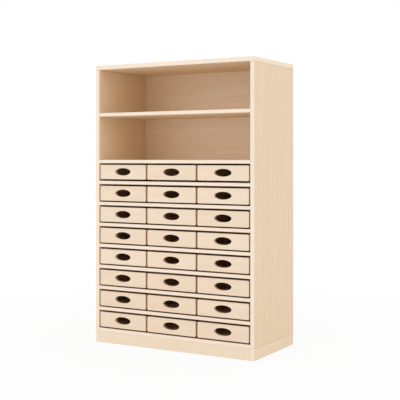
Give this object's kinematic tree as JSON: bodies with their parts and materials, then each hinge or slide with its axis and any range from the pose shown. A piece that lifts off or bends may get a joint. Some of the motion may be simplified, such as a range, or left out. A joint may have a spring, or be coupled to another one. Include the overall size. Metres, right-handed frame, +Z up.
{
  "type": "classroom storage unit",
  "caption": "Tall free-standing board cabinet with open shelves above rows of shallow wooden drawers with oval finger holes, on a plinth.",
  "frame": {"origin": "on the floor, under the middle of the unit", "axes": "+Z up, +X to the right seen from the front, +Y from the drawer fronts to the back"},
  "size_m": [0.796, 0.388, 1.242],
  "materials": {
    "carcass_board": "pale birch-look board with lighter edging, satin",
    "back_board": "pale birch-look back board, satin",
    "divider_board": "thin brown fibreboard, matte",
    "drawer_board": "pale birch-look drawer board, satin"
  },
  "bodies": {
    "carcass": {"plinth_left": "carcass_board", "plinth_right": "carcass_board", "plinth_front": "carcass_board", "plinth_back": "carcass_board", "left_side_panel": "carcass_board", "right_side_panel": "carcass_board", "bottom_panel": "carcass_board", "drawer_shelf_1": "carcass_board", "drawer_shelf_2": "carcass_board", "drawer_shelf_3": "carcass_board", "drawer_shelf_4": "carcass_board", "drawer_shelf_5": "carcass_board", "drawer_shelf_6": "carcass_board", "drawer_shelf_7": "carcass_board", "drawer_deck": "carcass_board", "open_shelf_1": "carcass_board", "top_panel": "carcass_board", "back_panel": "back_board", "divider_r1_1": "divider_board", "divider_r1_2": "divider_board", "divider_r2_1": "divider_board", "divider_r2_2": "divider_board", "divider_r3_1": "divider_board", "divider_r3_2": "divider_board", "divider_r4_1": "divider_board", "divider_r4_2": "divider_board", "divider_r5_1": "divider_board", "divider_r5_2": "divider_board", "divider_r6_1": "divider_board", "divider_r6_2": "divider_board", "divider_r7_1": "divider_board", "divider_r7_2": "divider_board", "divider_r8_1": "divider_board", "divider_r8_2": "divider_board"},
    "drawer_r1_c1": {"drawer_r1_c1": "drawer_board"},
    "drawer_r1_c2": {"drawer_r1_c2": "drawer_board"},
    "drawer_r1_c3": {"drawer_r1_c3": "drawer_board"},
    "drawer_r2_c1": {"drawer_r2_c1": "drawer_board"},
    "drawer_r2_c2": {"drawer_r2_c2": "drawer_board"},
    "drawer_r2_c3": {"drawer_r2_c3": "drawer_board"},
    "drawer_r3_c1": {"drawer_r3_c1": "drawer_board"},
    "drawer_r3_c2": {"drawer_r3_c2": "drawer_board"},
    "drawer_r3_c3": {"drawer_r3_c3": "drawer_board"},
    "drawer_r4_c1": {"drawer_r4_c1": "drawer_board"},
    "drawer_r4_c2": {"drawer_r4_c2": "drawer_board"},
    "drawer_r4_c3": {"drawer_r4_c3": "drawer_board"},
    "drawer_r5_c1": {"drawer_r5_c1": "drawer_board"},
    "drawer_r5_c2": {"drawer_r5_c2": "drawer_board"},
    "drawer_r5_c3": {"drawer_r5_c3": "drawer_board"},
    "drawer_r6_c1": {"drawer_r6_c1": "drawer_board"},
    "drawer_r6_c2": {"drawer_r6_c2": "drawer_board"},
    "drawer_r6_c3": {"drawer_r6_c3": "drawer_board"},
    "drawer_r7_c1": {"drawer_r7_c1": "drawer_board"},
    "drawer_r7_c2": {"drawer_r7_c2": "drawer_board"},
    "drawer_r7_c3": {"drawer_r7_c3": "drawer_board"},
    "drawer_r8_c1": {"drawer_r8_c1": "drawer_board"},
    "drawer_r8_c2": {"drawer_r8_c2": "drawer_board"},
    "drawer_r8_c3": {"drawer_r8_c3": "drawer_board"}
  },
  "joints": [
    {"name": "slide_r1_c1", "type": "slide", "parent": "carcass", "child": "drawer_r1_c1", "axis": [0, -1, 0], "range_m": [0, 0.28]},
    {"name": "slide_r1_c2", "type": "slide", "parent": "carcass", "child": "drawer_r1_c2", "axis": [0, -1, 0], "range_m": [0, 0.28]},
    {"name": "slide_r1_c3", "type": "slide", "parent": "carcass", "child": "drawer_r1_c3", "axis": [0, -1, 0], "range_m": [0, 0.28]},
    {"name": "slide_r2_c1", "type": "slide", "parent": "carcass", "child": "drawer_r2_c1", "axis": [0, -1, 0], "range_m": [0, 0.28]},
    {"name": "slide_r2_c2", "type": "slide", "parent": "carcass", "child": "drawer_r2_c2", "axis": [0, -1, 0], "range_m": [0, 0.28]},
    {"name": "slide_r2_c3", "type": "slide", "parent": "carcass", "child": "drawer_r2_c3", "axis": [0, -1, 0], "range_m": [0, 0.28]},
    {"name": "slide_r3_c1", "type": "slide", "parent": "carcass", "child": "drawer_r3_c1", "axis": [0, -1, 0], "range_m": [0, 0.28]},
    {"name": "slide_r3_c2", "type": "slide", "parent": "carcass", "child": "drawer_r3_c2", "axis": [0, -1, 0], "range_m": [0, 0.28]},
    {"name": "slide_r3_c3", "type": "slide", "parent": "carcass", "child": "drawer_r3_c3", "axis": [0, -1, 0], "range_m": [0, 0.28]},
    {"name": "slide_r4_c1", "type": "slide", "parent": "carcass", "child": "drawer_r4_c1", "axis": [0, -1, 0], "range_m": [0, 0.28]},
    {"name": "slide_r4_c2", "type": "slide", "parent": "carcass", "child": "drawer_r4_c2", "axis": [0, -1, 0], "range_m": [0, 0.28]},
    {"name": "slide_r4_c3", "type": "slide", "parent": "carcass", "child": "drawer_r4_c3", "axis": [0, -1, 0], "range_m": [0, 0.28]},
    {"name": "slide_r5_c1", "type": "slide", "parent": "carcass", "child": "drawer_r5_c1", "axis": [0, -1, 0], "range_m": [0, 0.28]},
    {"name": "slide_r5_c2", "type": "slide", "parent": "carcass", "child": "drawer_r5_c2", "axis": [0, -1, 0], "range_m": [0, 0.28]},
    {"name": "slide_r5_c3", "type": "slide", "parent": "carcass", "child": "drawer_r5_c3", "axis": [0, -1, 0], "range_m": [0, 0.28]},
    {"name": "slide_r6_c1", "type": "slide", "parent": "carcass", "child": "drawer_r6_c1", "axis": [0, -1, 0], "range_m": [0, 0.28]},
    {"name": "slide_r6_c2", "type": "slide", "parent": "carcass", "child": "drawer_r6_c2", "axis": [0, -1, 0], "range_m": [0, 0.28]},
    {"name": "slide_r6_c3", "type": "slide", "parent": "carcass", "child": "drawer_r6_c3", "axis": [0, -1, 0], "range_m": [0, 0.28]},
    {"name": "slide_r7_c1", "type": "slide", "parent": "carcass", "child": "drawer_r7_c1", "axis": [0, -1, 0], "range_m": [0, 0.28]},
    {"name": "slide_r7_c2", "type": "slide", "parent": "carcass", "child": "drawer_r7_c2", "axis": [0, -1, 0], "range_m": [0, 0.28]},
    {"name": "slide_r7_c3", "type": "slide", "parent": "carcass", "child": "drawer_r7_c3", "axis": [0, -1, 0], "range_m": [0, 0.28]},
    {"name": "slide_r8_c1", "type": "slide", "parent": "carcass", "child": "drawer_r8_c1", "axis": [0, -1, 0], "range_m": [0, 0.28]},
    {"name": "slide_r8_c2", "type": "slide", "parent": "carcass", "child": "drawer_r8_c2", "axis": [0, -1, 0], "range_m": [0, 0.28]},
    {"name": "slide_r8_c3", "type": "slide", "parent": "carcass", "child": "drawer_r8_c3", "axis": [0, -1, 0], "range_m": [0, 0.28]}
  ]
}
